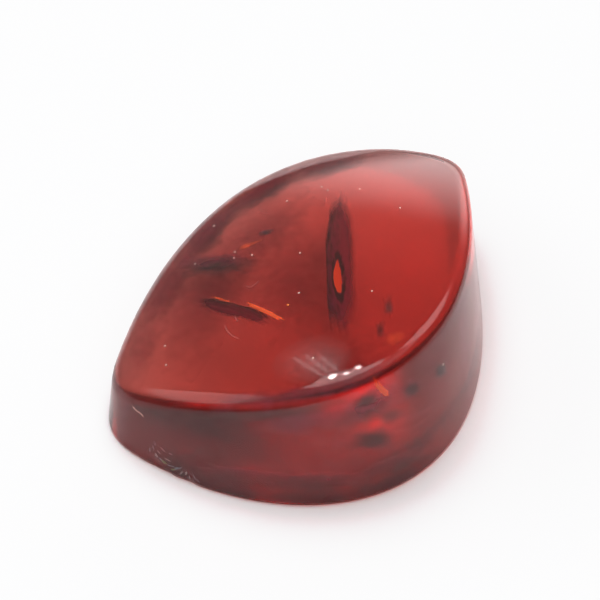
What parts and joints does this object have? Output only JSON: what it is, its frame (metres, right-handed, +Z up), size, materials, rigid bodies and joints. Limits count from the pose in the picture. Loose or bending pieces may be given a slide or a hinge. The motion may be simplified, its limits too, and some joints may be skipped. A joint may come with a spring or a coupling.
{
  "type": "amber stone",
  "caption": "Polished clear red amber stone with a flat base, a leaning side wall and a tilted domed top, to lie loose or be set as an ornament.",
  "frame": {"origin": "on the flat base, in the middle of the stone's box", "axes": "+X along the stone's length, from its blunt left corner to its right corner, +Y towards the low back, +Z up from the base"},
  "size_m": [0.0268, 0.0228, 0.0096],
  "materials": {
    "amber": "polished clear cherry-red amber with internal stress flakes"
  },
  "bodies": {
    "root": {"amber_stone": "amber"}
  },
  "joints": []
}
